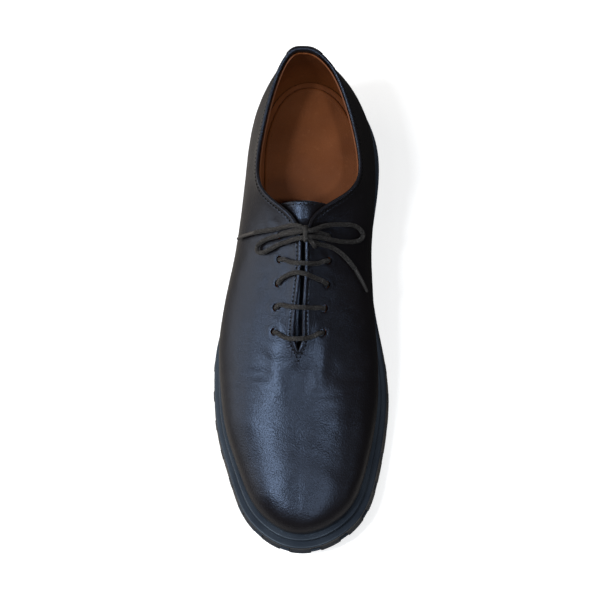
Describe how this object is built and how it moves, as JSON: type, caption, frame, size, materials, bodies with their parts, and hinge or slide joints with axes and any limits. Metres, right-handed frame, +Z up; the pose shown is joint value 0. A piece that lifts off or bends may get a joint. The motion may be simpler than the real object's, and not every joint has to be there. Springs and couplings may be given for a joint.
{
  "type": "wholecut oxford shoe",
  "caption": "Right wholecut oxford shoe: smooth dark leather upper in one piece, laced slit with a bow, lugged rubber sole and heel.",
  "frame": {"origin": "on the floor, under the middle of the sole's box", "axes": "+Z up, toe towards -Y, inner side of the right foot towards +X"},
  "size_m": [0.107, 0.3018, 0.0974],
  "materials": {
    "leather": "semi-gloss",
    "lining": "satin",
    "rubber": "satin",
    "lace": "matte",
    "aglet": "satin"
  },
  "bodies": {
    "root": {"upper": "leather", "midsole": "rubber", "insole": "lining", "sock": "lining", "tongue": "leather", "back_tab": "leather", "outsole": "rubber", "heel": "rubber", "lace_bar_top": "lace", "lace_bar_1": "lace", "lace_bar_2": "lace", "lace_bar_3": "lace", "lace_bar_4": "lace", "lace_loop_left": "lace", "lace_loop_right": "lace", "lace_end_left": "lace", "lace_end_right": "lace", "aglet_left": "aglet", "aglet_right": "aglet", "lace_knot": "lace"}
  },
  "joints": []
}
